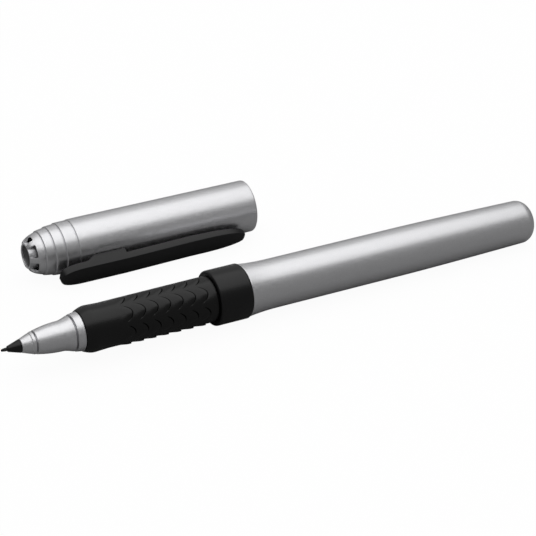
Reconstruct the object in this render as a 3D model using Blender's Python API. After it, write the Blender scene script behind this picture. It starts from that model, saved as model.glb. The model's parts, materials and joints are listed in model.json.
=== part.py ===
"""Permanent marker with an ultra-fine point, a scaled rubber grip and a vented push-on cap.

The marker lies on its collar and its tail, tip towards -X, with its cap taken off and laid beside it
(+Y), as both rest on a desk (z = 0).  The origin is under the middle of the whole set.
Lengths are in millimetres until a mesh is made; meshes are in metres.
"""

import math

import bmesh
import bpy
from mathutils import Matrix, Vector

MM = 0.001

# Clearances
SEAT_GAP = 0.30  # between a piece and the seat that carries it
FINE_GAP = 0.12  # seams of the small turned pieces and of the fibre core
SEAM_GAP = 0.16  # visible seams between the large outer pieces

# Facets round the axis, steps along curves, and the edge angle that stays sharp
LARGE_FACETS = 40
MEDIUM_FACETS = 32
SMALL_FACETS = 24
FINE_FACETS = 16
WINDOW_FACETS = 4
CROWN_STEPS = 5
CLIP_TAPER_STEPS = 6
SHARP_ANGLE = math.radians(32.0)

# Nib and the black cone that holds it
NIB_RADIUS = 0.40
NIB_POINT_RADIUS = 0.24
NIB_TAPER = 0.90
NIB_SHOWING = 1.40
NIB_IN_RESERVOIR = 4.00
HOLDER_LENGTH = 2.70
HOLDER_FRONT_RADIUS = 0.62
HOLDER_BASE_RADIUS = 1.46
HOLDER_SHANK_RADIUS = 1.05
HOLDER_SHANK_LENGTH = 9.50

# Silver nose: tip ferrule, nose cone and the ring of the front section
FERRULE_LENGTH = 2.85
FERRULE_REAR_RADIUS = 2.47
FERRULE_LINE_FROM_REAR = 0.75
FERRULE_LINE_DEPTH = 0.08
FERRULE_LINE_WIDTH = 0.20
FERRULE_SPIGOT_RADIUS = 1.75
FERRULE_SPIGOT_LENGTH = 2.50
NOSE_CONE_LENGTH = 8.00
NOSE_CONE_FRONT_RADIUS = 2.53
NOSE_CONE_WAIST_RADIUS = 3.25
NOSE_CONE_SWELL = 0.16
NOSE_CONE_FLARE_LENGTH = 2.10
NOSE_CONE_FLARE_POWER = 1.3
NOSE_CONE_REAR_RADIUS = 3.86
NOSE_CONE_SPIGOT_LENGTH = 4.00
NOSE_CONE_WALL = 0.90
NOSE_RING_LENGTH = 1.60
NOSE_RING_FRONT_RADIUS = 3.98
NOSE_RING_REAR_RADIUS = 4.26
NOSE_GROOVE = 0.36

# Front section: the tube that carries the grip and plugs into the barrel
SECTION_RADIUS = 3.85
SECTION_WALL = 0.70
SECTION_IN_BARREL = 14.00

# Rubber grip
GRIP_LENGTH = 30.40
GRIP_FRONT_LIP_RADIUS = 4.42
GRIP_FRONT_RADIUS = 5.05
GRIP_WAIST_RADIUS = 4.90
GRIP_REAR_RADIUS = 5.08
GRIP_BEVEL_LENGTH = 2.30
SCALE_ROWS = 7
SCALE_COUNT = 7
SCALE_PITCH = 2.93
SCALE_LAST_EDGE_FROM_REAR = 2.20
SCALE_BOW = 2.16
SCALE_HEIGHT = 0.26
SCALE_STEP = 0.25
SCALE_SHOULDER_FROM_EDGE = 1.17
SCALE_SHOULDER_HEIGHT = 0.19
SCALE_FACETS_PER_ROW = 8
SCALE_ROW_PHASE = math.radians(31.3)

# Collar, against which the cap closes
COLLAR_LENGTH = 7.70
COLLAR_EDGE = 0.45

# Barrel with a moulded closed tail
BARREL_LENGTH = 75.45
BARREL_FRONT_STEP = 0.21
BARREL_RADIUS = 5.44
BARREL_FLARE_LENGTH = 7.80
BARREL_STRAIGHT_LENGTH = 33.00
BARREL_TAIL_RADIUS = 5.00
BARREL_TAIL_ROUNDING = 2.60
BARREL_END_WALL = 3.40
BARREL_SOCKET_LENGTH = 8.00
BARREL_FLARE_POWER = 2.2
BARREL_TAPER_POWER = 1.5

# Ink reservoir: fibre core in a film wrap
WRAP_THICKNESS = 0.15
RESERVOIR_FRONT_FROM_SHOULDER = 24.00

# Cap shell: ring grooves are counted from the crown's end
CAP_SLIP = 0.12
CAP_WALL = 0.68
CAP_LIP_ROUNDING = 0.34
CAP_ROOM_FOR_NIB = 1.49
CROWN_LENGTH = 13.95
CROWN_RINGS_FROM_END = (10.85, 7.75, 5.35, 3.20)
CROWN_RING_DEPTH = 0.16
CROWN_RING_WIDTH = 0.36
CROWN_WALL = 0.72
CROWN_SHOULDER_POWER = 2.30
CROWN_DOME_POWER = 0.56
HUB_RADIUS = 2.90
HUB_WALL = 0.40
HUB_DEPTH = 5.00
WINDOW_COUNT = 6
WINDOW_ARC = math.radians(42.0)
WINDOW_REAR_FROM_END = 1.55
WINDOW_SLANT = 0.75

# Inner cap that seals the nib
LINER_WALL = 0.45
LINER_SEAT_LENGTH = 3.40
LINER_SEAT_TAPER = 0.30
LINER_THROAT_RADIUS = 1.00
LINER_END_WALL = 0.60
LINER_STEM_RECESS = 0.30

# Pocket clip: a bar that leans in towards the shell as far as its bead and lifts again at its tip
CLIP_TAIL_FROM_CROWN = 5.10
CLIP_LENGTH = 46.20
CLIP_WIDTH = 5.30
CLIP_THICKNESS = 2.25
CLIP_POCKET_GAP = 0.80
CLIP_LEAN = 0.35
CLIP_BEAD_FROM_TIP = 14.00
CLIP_TIP_LIFT = 0.36
CLIP_END_ROUNDING = 0.90
CLIP_TIP_TAPER = 11.00
CLIP_TAIL_TAPER = 6.00
CLIP_BLUNTNESS = 0.83
CLIP_FOOT_FROM_TAIL = 9.30
CLIP_FOOT_LENGTH = 6.90
CLIP_FOOT_RAMP = 2.60
CLIP_NECK_WIDTH = 3.00
CLIP_NECK_LENGTH = 6.00
CLIP_NECK_DEPTH = 0.85

# How the two lie beside each other
CAP_ASIDE = 36.18
CAP_MOUTH_BEHIND_COLLAR = 20.98
CAP_SKEW = math.radians(1.49)

# Stations along the pen's axis, counted from the shoulder where the cap closes
grip_rear = -SEAM_GAP
grip_front = grip_rear - GRIP_LENGTH
last_edge = grip_rear - SCALE_LAST_EDGE_FROM_REAR
first_edge = last_edge - (SCALE_COUNT - 1) * SCALE_PITCH
scales_start = first_edge - SCALE_PITCH - SCALE_BOW
ring_rear = grip_front - FINE_GAP
ring_front = ring_rear - NOSE_RING_LENGTH
cone_rear = ring_front - NOSE_GROOVE
cone_front = cone_rear - NOSE_CONE_LENGTH
ferrule_rear = cone_front - SEAT_GAP
ferrule_front = ferrule_rear - FERRULE_LENGTH
holder_rear = ferrule_front - FINE_GAP
holder_front = holder_rear - HOLDER_LENGTH
nib_tip = holder_front - NIB_SHOWING
barrel_front = COLLAR_LENGTH + SEAM_GAP
barrel_end = barrel_front + BARREL_LENGTH
section_end = barrel_front + SECTION_IN_BARREL
reservoir_front = -RESERVOIR_FRONT_FROM_SHOULDER
barrel_floor = barrel_end - BARREL_END_WALL
reservoir_end = barrel_floor - SEAT_GAP

# Radii that follow from what they fit
section_bore = SECTION_RADIUS - SECTION_WALL
wrap_radius = section_bore - SEAT_GAP
core_radius = wrap_radius - WRAP_THICKNESS - FINE_GAP
nib_bore = NIB_RADIUS + FINE_GAP
shank_bore = HOLDER_SHANK_RADIUS + FINE_GAP
sleeve_bore = SECTION_RADIUS + SEAM_GAP
cap_bore = GRIP_REAR_RADIUS + SCALE_HEIGHT + CAP_SLIP
cap_radius = cap_bore + CAP_WALL
collar_radius = cap_radius
barrel_front_radius = collar_radius - BARREL_FRONT_STEP
hub_bore = HUB_RADIUS - HUB_WALL
stem_radius = hub_bore - FINE_GAP

# Stations along the cap's axis, counted from its mouth
liner_mouth = -ring_rear
liner_throat = CAP_ROOM_FOR_NIB - nib_tip
stem_start = liner_throat + LINER_END_WALL
hub_end = stem_start + SEAT_GAP
cap_length = hub_end + HUB_DEPTH
crown_start = cap_length - CROWN_LENGTH
clip_tail = cap_length - CLIP_TAIL_FROM_CROWN
clip_tip = clip_tail - CLIP_LENGTH
foot_end = clip_tail - CLIP_FOOT_FROM_TAIL
foot_start = foot_end - CLIP_FOOT_LENGTH
clip_hinge = (foot_start + foot_end) / 2
clip_bead = clip_tip + CLIP_BEAD_FROM_TIP
clip_inner = cap_radius + CLIP_POCKET_GAP
clip_outer = clip_inner + CLIP_THICKNESS

for old in list(bpy.data.objects):
    bpy.data.objects.remove(old, do_unlink=True)


def material(name, colour, roughness, metallic=0.0):
    made = bpy.data.materials.new(name)
    made.use_nodes = True
    shader = made.node_tree.nodes["Principled BSDF"]
    shader.inputs["Base Color"].default_value = (*colour, 1.0)
    shader.inputs["Roughness"].default_value = roughness
    shader.inputs["Metallic"].default_value = metallic
    return made


SILVER = material("silver_plastic", (0.52, 0.52, 0.53), 0.34, 0.75)
BLACK = material("black_plastic", (0.018, 0.018, 0.019), 0.38)
RUBBER = material("black_rubber", (0.022, 0.022, 0.022), 0.70)
NIB_INK = material("inked_fibre_point", (0.010, 0.010, 0.011), 0.55)
FIBRE = material("inked_fibre_core", (0.030, 0.030, 0.034), 0.95)
FILM = material("clear_film", (0.62, 0.63, 0.65), 0.25)


def empty(name, matrix, parent=None):
    """A frame that pieces hang on; its matrix is in millimetres, relative to its parent."""
    made = bpy.data.objects.new(name, None)
    bpy.context.collection.objects.link(made)
    made.parent = parent
    made.matrix_local = Matrix.LocRotScale(matrix.to_translation() * MM, matrix.to_quaternion(), None)
    return made


def piece(name, work, finish, parent):
    """Turns a bmesh drawn in millimetres into a named piece on its parent frame."""
    bmesh.ops.recalc_face_normals(work, faces=work.faces[:])
    bmesh.ops.scale(work, vec=(MM, MM, MM), verts=work.verts[:])
    mesh = bpy.data.meshes.new(name)
    work.to_mesh(mesh)
    work.free()
    mesh.shade_smooth()
    mesh.set_sharp_from_angle(angle=SHARP_ANGLE)
    mesh.materials.append(finish)
    made = bpy.data.objects.new(name, mesh)
    bpy.context.collection.objects.link(made)
    made.parent = parent
    return made


def cutter(name, work, parent):
    made = piece(name, work, BLACK, parent)
    made.hide_render = True
    made.display_type = "WIRE"
    return made


def boolean(target, tool, operation):
    modifier = target.modifiers.new(tool.name, "BOOLEAN")
    modifier.operation = operation
    modifier.object = tool


def turned(profile, facets, start=0.0, sweep=math.tau):
    """Spins a profile of (along, radius) points round X; points on the axis close the ends."""
    work = bmesh.new()
    ring = []
    for along, radius in profile:
        ring.append(work.verts.new((along, radius * math.cos(start), radius * math.sin(start))))
    on_axis = profile[0][1] == 0 and profile[-1][1] == 0
    pairs = list(zip(ring, ring[1:]))
    if not on_axis:
        pairs.append((ring[-1], ring[0]))
    edges = [work.edges.new(pair) for pair in pairs]
    whole = math.isclose(sweep, math.tau)
    spun = bmesh.ops.spin(
        work,
        geom=ring + edges,
        cent=(0, 0, 0),
        axis=(1, 0, 0),
        dvec=(0, 0, 0),
        angle=sweep,
        steps=facets,
        use_merge=whole,
    )
    if not whole:
        last_edges = [item for item in spun["geom_last"] if isinstance(item, bmesh.types.BMEdge)]
        bmesh.ops.contextual_create(work, geom=edges)
        bmesh.ops.contextual_create(work, geom=last_edges)
    bmesh.ops.remove_doubles(work, verts=work.verts[:], dist=1e-5)
    return work


def arc(along, radius, size, first_degrees, last_degrees, steps):
    """Points on a round of the given size about (along, radius); 0 degrees points along the axis."""
    points = []
    for step in range(steps + 1):
        angle = math.radians(first_degrees + (last_degrees - first_degrees) * step / steps)
        points.append((along + size * math.cos(angle), radius + size * math.sin(angle)))
    return points


def eased(first, last, steps, ease):
    """Points from first to last whose radius follows ease(0..1), without the first point."""
    points = []
    for step in range(1, steps + 1):
        share = step / steps
        along = first[0] + (last[0] - first[0]) * share
        points.append((along, first[1] + (last[1] - first[1]) * ease(share)))
    return points


def swelling(share):
    """Rises steeply from 0 and levels off at 1."""
    return math.sin(share * math.pi / 2)


crown_rings = [cap_length - back for back in CROWN_RINGS_FROM_END]
crown_shares = [swelling(step / CROWN_STEPS) for step in range(1, CROWN_STEPS + 1)]


def prism(outline, low, high, place):
    """Extrudes a flat outline; place(first, second, depth) gives each corner's position."""
    work = bmesh.new()
    base = work.faces.new([work.verts.new(place(first, second, low)) for first, second in outline])
    grown = bmesh.ops.extrude_face_region(work, geom=[base])["geom"]
    step = Vector(place(0, 0, high)) - Vector(place(0, 0, low))
    moved = [item for item in grown if isinstance(item, bmesh.types.BMVert)]
    bmesh.ops.translate(work, vec=step, verts=moved)
    return work


def barrel_outline():
    """Outer outline of the barrel, from its flared front to the middle of its tail."""
    front = (barrel_front, barrel_front_radius)
    flare_end = (barrel_front + BARREL_FLARE_LENGTH, BARREL_RADIUS)
    straight_end = (flare_end[0] + BARREL_STRAIGHT_LENGTH, BARREL_RADIUS)
    tail = (barrel_end - BARREL_TAIL_ROUNDING, BARREL_TAIL_RADIUS)
    round_middle = BARREL_TAIL_RADIUS - BARREL_TAIL_ROUNDING
    return [
        front,
        *eased(front, flare_end, 5, lambda share: 1 - (1 - share) ** BARREL_FLARE_POWER),
        straight_end,
        *eased(straight_end, tail, 4, lambda share: share**BARREL_TAPER_POWER),
        *arc(tail[0], round_middle, BARREL_TAIL_ROUNDING, 90, 0, 5)[1:],
        (barrel_end, 0),
    ]


def dome(along, radius, end):
    """Radius of the crown's curve: full at crown_start, down to the hub at the given end."""
    share = max(0.0, (along - crown_start) / (end - crown_start))
    return HUB_RADIUS + (radius - HUB_RADIUS) * (1 - share**CROWN_SHOULDER_POWER) ** CROWN_DOME_POWER


def crown_radius(along):
    return dome(along, cap_radius, cap_length)


def cap_outline():
    """Outer outline of the cap shell, from its lip to the end of its crown."""
    points = arc(CAP_LIP_ROUNDING, cap_radius - CAP_LIP_ROUNDING, CAP_LIP_ROUNDING, 180, 90, 3)
    points.append((crown_start, cap_radius))
    for ring in crown_rings:
        start = ring - CROWN_RING_WIDTH / 2
        stop = ring + CROWN_RING_WIDTH / 2
        points.append((start, crown_radius(start)))
        points.append((ring, crown_radius(ring) - CROWN_RING_DEPTH))
        points.append((stop, crown_radius(stop)))
    for share in crown_shares:
        along = crown_rings[-1] + (cap_length - crown_rings[-1]) * share
        points.append((along, crown_radius(along)))
    return points


# The marker lies on the rear edge of its collar and on its barrel, so its axis tips down a little
outline = barrel_outline()
shell_outline = cap_outline()
rest_tilt = min(math.atan2(collar_radius - radius, along - COLLAR_LENGTH) for along, radius in outline[1:])
axis_height = COLLAR_LENGTH * math.sin(rest_tilt) + collar_radius * math.cos(rest_tilt)
set_front = nib_tip * math.cos(rest_tilt)
set_rear = max(along * math.cos(rest_tilt) + radius * math.sin(rest_tilt) for along, radius in outline)
set_left = -collar_radius
cap_reach = max(
    along * math.sin(CAP_SKEW) + radius * math.cos(CAP_SKEW) for along, radius in shell_outline
)
set_right = CAP_ASIDE + cap_reach
middle = Matrix.Translation((-(set_front + set_rear) / 2, -(set_left + set_right) / 2, 0))

# The cap lies on its shell and on the lower corner of its clip, its crown a little further aside
clip_corner = math.hypot(clip_outer, CLIP_WIDTH / 2)
clip_below_level = math.asin(cap_radius / clip_corner) - math.atan2(CLIP_WIDTH / 2, clip_outer)
cap_mouth = COLLAR_LENGTH + CAP_MOUTH_BEHIND_COLLAR
cap_turned_round = Matrix.Rotation(math.pi - CAP_SKEW, 4, "Z") @ Matrix.Rotation(-clip_below_level, 4, "X")

marker_set = empty("marker_set", middle)
pen_axis = empty(
    "pen_axis",
    Matrix.Translation((0, 0, axis_height)) @ Matrix.Rotation(rest_tilt, 4, "Y"),
    marker_set,
)
cap_axis = empty(
    "cap_axis",
    Matrix.Translation((cap_mouth, CAP_ASIDE, cap_radius)) @ cap_turned_round,
    marker_set,
)
clip_axis = empty("clip_axis", Matrix.Translation((clip_hinge, cap_radius, 0)), cap_axis)


def make_nib():
    taper_end = nib_tip + NIB_TAPER
    point = arc(nib_tip + NIB_POINT_RADIUS, 0, NIB_POINT_RADIUS, 180, 105, 3)
    point[0] = (nib_tip, 0)
    rear = reservoir_front + NIB_IN_RESERVOIR
    profile = point + [(taper_end, NIB_RADIUS), (rear, NIB_RADIUS), (rear, 0)]
    piece("nib", turned(profile, FINE_FACETS), NIB_INK, pen_axis)


def make_nib_holder():
    shank_end = holder_rear + HOLDER_SHANK_LENGTH
    profile = [
        (holder_front, nib_bore),
        (holder_front, HOLDER_FRONT_RADIUS),
        (holder_rear, HOLDER_BASE_RADIUS),
        (holder_rear, HOLDER_SHANK_RADIUS),
        (shank_end, HOLDER_SHANK_RADIUS),
        (shank_end, nib_bore),
    ]
    piece("nib_holder", turned(profile, SMALL_FACETS), BLACK, pen_axis)


def make_tip_ferrule():
    def cone_radius(along):
        share = (along - ferrule_front) / FERRULE_LENGTH
        return HOLDER_BASE_RADIUS + (FERRULE_REAR_RADIUS - HOLDER_BASE_RADIUS) * share

    line = ferrule_rear - FERRULE_LINE_FROM_REAR
    line_start = line - FERRULE_LINE_WIDTH / 2
    line_stop = line + FERRULE_LINE_WIDTH / 2
    spigot_end = ferrule_rear + FERRULE_SPIGOT_LENGTH
    profile = [
        (ferrule_front, shank_bore),
        (ferrule_front, HOLDER_BASE_RADIUS),
        (line_start, cone_radius(line_start)),
        (line, cone_radius(line) - FERRULE_LINE_DEPTH),
        (line_stop, cone_radius(line_stop)),
        (ferrule_rear, FERRULE_REAR_RADIUS),
        (ferrule_rear, FERRULE_SPIGOT_RADIUS),
        (spigot_end, FERRULE_SPIGOT_RADIUS),
        (spigot_end, shank_bore),
    ]
    piece("tip_ferrule", turned(profile, SMALL_FACETS), SILVER, pen_axis)


def make_nose_cone():
    waist = (cone_rear - NOSE_CONE_FLARE_LENGTH, NOSE_CONE_WAIST_RADIUS)
    front = (cone_front, NOSE_CONE_FRONT_RADIUS)
    cone = [front]
    for along, radius in eased(front, waist, 4, lambda share: share):
        share = (along - cone_front) / (waist[0] - cone_front)
        cone.append((along, radius + NOSE_CONE_SWELL * math.sin(math.pi * share)))
    flare = eased(waist, (cone_rear, NOSE_CONE_REAR_RADIUS), 3, lambda share: share**NOSE_CONE_FLARE_POWER)
    spigot_radius = section_bore - FINE_GAP
    spigot_end = cone_rear + NOSE_CONE_SPIGOT_LENGTH
    pocket_radius = spigot_radius - NOSE_CONE_WALL
    pocket_floor = waist[0]
    counterbore = FERRULE_SPIGOT_RADIUS + FINE_GAP
    counterbore_floor = ferrule_rear + FERRULE_SPIGOT_LENGTH + SEAT_GAP
    profile = [
        *cone,
        *flare,
        (cone_rear, spigot_radius),
        (spigot_end, spigot_radius),
        (spigot_end, pocket_radius),
        (pocket_floor, pocket_radius),
        (pocket_floor, shank_bore),
        (counterbore_floor, shank_bore),
        (counterbore_floor, counterbore),
        (cone_front, counterbore),
    ]
    piece("nose_cone", turned(profile, SMALL_FACETS), SILVER, pen_axis)


def make_front_section():
    profile = [
        (ring_front, section_bore),
        (ring_front, NOSE_RING_FRONT_RADIUS),
        (ring_rear, NOSE_RING_REAR_RADIUS),
        (ring_rear, SECTION_RADIUS),
        (section_end, SECTION_RADIUS),
        (section_end, section_bore),
    ]
    piece("front_section", turned(profile, MEDIUM_FACETS), SILVER, pen_axis)


def grip_radius(along):
    """Plain outer radius of the grip: bevelled in front, slimmest where its scales start."""
    bevel_end = grip_front + GRIP_BEVEL_LENGTH
    if along < bevel_end:
        rise = swelling((along - grip_front) / GRIP_BEVEL_LENGTH)
        return GRIP_FRONT_LIP_RADIUS + (GRIP_FRONT_RADIUS - GRIP_FRONT_LIP_RADIUS) * rise
    if along < scales_start:
        share = (along - bevel_end) / (scales_start - bevel_end)
        return GRIP_FRONT_RADIUS + (GRIP_WAIST_RADIUS - GRIP_FRONT_RADIUS) * share
    share = (along - scales_start) / (grip_rear - scales_start)
    return GRIP_WAIST_RADIUS + (GRIP_REAR_RADIUS - GRIP_WAIST_RADIUS) * share


def make_grip_sleeve():
    """Each scale rises towards its rear edge and drops there; the edges bow rearwards in every row."""
    bevel_end = grip_front + GRIP_BEVEL_LENGTH
    plain = [grip_front, grip_front + GRIP_BEVEL_LENGTH / 3, bevel_end, scales_start]
    rings = [(along, 0.0, 0.0) for along in plain]
    for number in range(SCALE_COUNT):
        edge = first_edge + number * SCALE_PITCH
        rings.append((edge - SCALE_PITCH + SCALE_STEP, 0.0, 1.0))
        rings.append((edge - SCALE_SHOULDER_FROM_EDGE, SCALE_SHOULDER_HEIGHT, 1.0))
        rings.append((edge, SCALE_HEIGHT, 1.0))
    rings.append((last_edge + SCALE_STEP, 0.0, 1.0))
    rings.append((grip_rear, 0.0, 0.0))

    facets = SCALE_ROWS * SCALE_FACETS_PER_ROW
    profile = [(along, grip_radius(along)) for along, _, _ in rings]
    profile += [(grip_rear, sleeve_bore), (grip_front, sleeve_bore)]
    work = turned(profile, facets, start=SCALE_ROW_PHASE)
    raised = {round(along, 4): (height, bend) for along, height, bend in rings}
    for vert in work.verts:
        along, radius = vert.co.x, math.hypot(vert.co.y, vert.co.z)
        height, bend = raised[round(along, 4)]
        if radius < sleeve_bore + SEAM_GAP:
            continue
        turn = (math.atan2(vert.co.z, vert.co.y) - SCALE_ROW_PHASE) * SCALE_ROWS / math.tau
        across = 2 * abs(turn - round(turn))
        vert.co.x = along - bend * SCALE_BOW * across**2
        grown = (grip_radius(vert.co.x) + height * (1 - across**2)) / radius
        vert.co.y *= grown
        vert.co.z *= grown
    piece("grip_sleeve", work, RUBBER, pen_axis)


def make_collar():
    profile = [
        (0, sleeve_bore),
        *arc(COLLAR_EDGE, collar_radius - COLLAR_EDGE, COLLAR_EDGE, 180, 90, 3),
        (COLLAR_LENGTH, collar_radius),
        (COLLAR_LENGTH, sleeve_bore),
    ]
    piece("collar", turned(profile, LARGE_FACETS), BLACK, pen_axis)


def make_barrel():
    """The bore takes the front section; a socket in front of the closed tail holds the reservoir's end."""
    socket = wrap_radius + SEAT_GAP
    socket_mouth = barrel_floor - BARREL_SOCKET_LENGTH
    bore = [
        (barrel_floor, 0),
        (barrel_floor, socket),
        (socket_mouth, socket),
        (socket_mouth - (sleeve_bore - socket), sleeve_bore),
        (barrel_front, sleeve_bore),
    ]
    piece("barrel", turned(bore + outline, LARGE_FACETS), SILVER, pen_axis)


def make_reservoir():
    nib_hole_floor = reservoir_front + NIB_IN_RESERVOIR + SEAT_GAP
    core = [
        (nib_hole_floor, 0),
        (nib_hole_floor, nib_bore),
        (reservoir_front, nib_bore),
        (reservoir_front, core_radius),
        (reservoir_end, core_radius),
        (reservoir_end, 0),
    ]
    piece("ink_reservoir", turned(core, SMALL_FACETS), FIBRE, pen_axis)
    wrap = [
        (reservoir_front, wrap_radius - WRAP_THICKNESS),
        (reservoir_front, wrap_radius),
        (reservoir_end, wrap_radius),
        (reservoir_end, wrap_radius - WRAP_THICKNESS),
    ]
    piece("reservoir_wrap", turned(wrap, SMALL_FACETS), FILM, pen_axis)


def make_cap_shell():
    cavity_end = cap_length - CROWN_WALL
    hub = [(cap_length, hub_bore), (hub_end, hub_bore), (hub_end, HUB_RADIUS), (cavity_end, HUB_RADIUS)]
    inner = []
    for share in reversed(crown_shares[:-1]):
        along = crown_start + (cavity_end - crown_start) * share
        inner.append((along, dome(along, cap_bore, cavity_end)))
    profile = [*shell_outline, *hub, *inner, (crown_start, cap_bore), (0, cap_bore)]
    shell = piece("cap_shell", turned(profile, LARGE_FACETS), SILVER, cap_axis)

    window_rear = cap_length - WINDOW_REAR_FROM_END
    window_edge = crown_radius(window_rear)
    low = HUB_RADIUS + FINE_GAP
    high = crown_radius(crown_rings[-1])
    beyond = cap_length + CROWN_WALL
    window = [
        (window_rear + WINDOW_SLANT * (high - window_edge), high),
        (beyond, high),
        (beyond, low),
        (window_rear + WINDOW_SLANT * (low - window_edge), low),
    ]
    for number in range(WINDOW_COUNT):
        start = number * math.tau / WINDOW_COUNT - WINDOW_ARC / 2
        work = turned(window, WINDOW_FACETS, start=start, sweep=WINDOW_ARC)
        boolean(shell, cutter(f"window_cut_{number + 1}", work, cap_axis), "DIFFERENCE")

    slot_length = CLIP_NECK_LENGTH + 2 * SEAT_GAP
    slot = rectangle(clip_hinge, slot_length, cap_bore - CAP_WALL, cap_radius + CAP_WALL)
    slot_half = CLIP_NECK_WIDTH / 2 + SEAT_GAP
    work = prism(slot, -slot_half, slot_half, lambda along, out, across: (along, out, across))
    boolean(shell, cutter("clip_slot_cut", work, cap_axis), "DIFFERENCE")


def rectangle(middle_along, length, low, high):
    start = middle_along - length / 2
    stop = middle_along + length / 2
    return [(start, low), (stop, low), (stop, high), (start, high)]


def make_cap_liner():
    mouth_radius = NOSE_RING_REAR_RADIUS + SEAM_GAP
    seat_end = liner_mouth + LINER_SEAT_LENGTH
    seat_radius = mouth_radius - LINER_SEAT_TAPER
    stem_end = cap_length - LINER_STEM_RECESS
    profile = [
        (liner_throat, 0),
        (liner_throat, LINER_THROAT_RADIUS),
        (seat_end, seat_radius),
        (liner_mouth, mouth_radius),
        (liner_mouth, mouth_radius + LINER_WALL),
        (seat_end, seat_radius + LINER_WALL),
        (stem_start, stem_radius),
        (stem_end, stem_radius),
        (stem_end, 0),
    ]
    piece("cap_liner", turned(profile, SMALL_FACETS), BLACK, cap_axis)


def blunt_end(middle_along, length, first_degrees):
    """Points round one end of the clip's plan, from one side to the other, blunter than an ellipse."""
    points = []
    for step in range(2 * CLIP_TAPER_STEPS + 1):
        angle = math.radians(first_degrees + 90 * step / CLIP_TAPER_STEPS)
        along = math.copysign(abs(math.cos(angle)) ** CLIP_BLUNTNESS, math.cos(angle))
        across = math.copysign(abs(math.sin(angle)) ** CLIP_BLUNTNESS, math.sin(angle))
        points.append((middle_along + length * along, CLIP_WIDTH / 2 * across))
    return points


def make_pocket_clip():
    """Side outline and plan outline are crossed, the foot is hollowed to the shell and gets its neck."""
    bead_inner = clip_inner - CLIP_LEAN
    bead_outer = clip_outer - CLIP_LEAN
    tip_inner = bead_inner + CLIP_TIP_LIFT
    foot_depth = math.sqrt(cap_radius**2 - (CLIP_WIDTH / 2) ** 2)
    size = CLIP_END_ROUNDING
    side = [
        *arc(clip_tip + size, tip_inner + size, size, 180, 270, 3),
        (clip_bead, bead_inner),
        (foot_start, clip_inner),
        (foot_start, foot_depth),
        (foot_end, foot_depth),
        (foot_end + CLIP_FOOT_RAMP, clip_inner),
        *arc(clip_tail - size, clip_inner + size, size, 270, 360, 3),
        *arc(clip_tail - size, clip_outer - size, size, 0, 90, 3),
        (foot_start, clip_outer),
        (clip_bead, bead_outer),
        *arc(clip_tip + size, bead_outer - size, size, 90, 180, 3),
    ]

    def from_hinge(along, out, across):
        return (along - clip_hinge, out - cap_radius, across)

    body = prism(side, -CLIP_WIDTH / 2, CLIP_WIDTH / 2, from_hinge)
    clip = piece("pocket_clip", body, BLACK, clip_axis)

    plan = [
        *blunt_end(clip_tail - CLIP_TAIL_TAPER, CLIP_TAIL_TAPER, -90),
        *blunt_end(clip_tip + CLIP_TIP_TAPER, CLIP_TIP_TAPER, 90),
    ]
    work = prism(
        plan,
        foot_depth - CLIP_THICKNESS,
        clip_outer + CLIP_THICKNESS,
        lambda along, across, out: from_hinge(along, out, across),
    )
    boolean(clip, cutter("clip_plan_cut", work, clip_axis), "INTERSECT")

    seat_radius = cap_radius + SEAT_GAP
    seat_half = CLIP_FOOT_LENGTH
    seat_rod = [(-seat_half, 0), (-seat_half, seat_radius), (seat_half, seat_radius), (seat_half, 0)]
    seat = turned(seat_rod, LARGE_FACETS)
    bmesh.ops.translate(seat, vec=(0, -cap_radius, 0), verts=seat.verts[:])
    boolean(clip, cutter("clip_seat_cut", seat, clip_axis), "DIFFERENCE")

    neck_top = clip_inner + CLIP_THICKNESS / 2
    neck = rectangle(clip_hinge, CLIP_NECK_LENGTH, cap_radius - CLIP_NECK_DEPTH, neck_top)
    work = prism(neck, -CLIP_NECK_WIDTH / 2, CLIP_NECK_WIDTH / 2, from_hinge)
    boolean(clip, cutter("clip_neck_join", work, clip_axis), "UNION")


make_nib()
make_nib_holder()
make_tip_ferrule()
make_nose_cone()
make_front_section()
make_grip_sleeve()
make_collar()
make_barrel()
make_reservoir()
make_cap_shell()
make_cap_liner()
make_pocket_clip()
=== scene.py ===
# %% [markdown]
# A permanent marker with its cap off
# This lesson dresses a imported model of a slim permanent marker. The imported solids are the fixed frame:
# they say where each piece lies and how it moves. Here every piece that shows is made again with finer
# curves and rounded edges, gets the finish of the real material, and rides on the body that carries it.

import json
import math

import bmesh
import bpy
from mathutils import Matrix, Vector


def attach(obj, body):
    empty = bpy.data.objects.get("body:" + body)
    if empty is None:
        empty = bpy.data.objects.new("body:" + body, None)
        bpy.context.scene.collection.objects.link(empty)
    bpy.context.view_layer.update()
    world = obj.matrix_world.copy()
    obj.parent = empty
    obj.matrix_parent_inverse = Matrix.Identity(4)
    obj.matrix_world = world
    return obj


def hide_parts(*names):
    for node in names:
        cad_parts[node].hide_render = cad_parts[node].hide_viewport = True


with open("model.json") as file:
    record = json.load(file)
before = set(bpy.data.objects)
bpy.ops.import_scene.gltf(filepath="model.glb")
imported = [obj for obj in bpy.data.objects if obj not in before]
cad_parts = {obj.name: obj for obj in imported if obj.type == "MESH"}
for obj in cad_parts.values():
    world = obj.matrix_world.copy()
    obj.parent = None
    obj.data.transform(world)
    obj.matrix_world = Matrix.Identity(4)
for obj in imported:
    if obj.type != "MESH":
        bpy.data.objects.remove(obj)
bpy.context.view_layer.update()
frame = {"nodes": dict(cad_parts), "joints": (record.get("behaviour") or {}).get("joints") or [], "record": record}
MM = 0.001

# %% [markdown]
# Two axes carry everything: the marker is turned about one line from nib to tail, the cap about another.
# Both could be typed in, but the record already knows them. The tail's rest face gives the marker's
# axis, the cap's slide gives the direction of the cap, and the clip's hinge says which way the clip points.

# %% Find the two axes
SKIN = 0.015


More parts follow.
